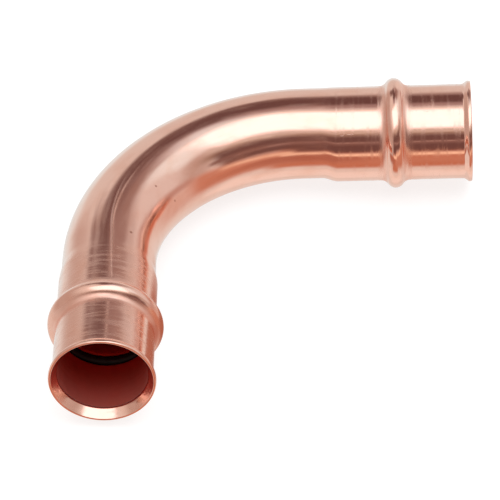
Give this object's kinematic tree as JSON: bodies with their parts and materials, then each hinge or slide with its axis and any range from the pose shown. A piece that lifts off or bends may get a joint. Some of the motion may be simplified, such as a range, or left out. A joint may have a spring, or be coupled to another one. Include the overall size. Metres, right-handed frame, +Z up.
{
  "type": "press fit elbow",
  "caption": "Long-radius right-angle copper press elbow with a beaded, flared socket at each end and a rubber seal in each bead.",
  "frame": {"origin": "middle of the part's footprint, on the surface that it lies on", "axes": "+Z up, square to that surface; the near socket opens towards -Y and the far socket towards +X, both tipped up by 4.0 degrees"},
  "size_m": [0.0782, 0.0782, 0.0209],
  "materials": {
    "copper": "bright drawn copper, bare, finely brushed round the sockets",
    "seal_rubber": "black moulded rubber, lightly oiled"
  },
  "bodies": {
    "root": {"elbow_body": "copper", "near_o_ring": "seal_rubber", "far_o_ring": "seal_rubber"}
  },
  "joints": []
}
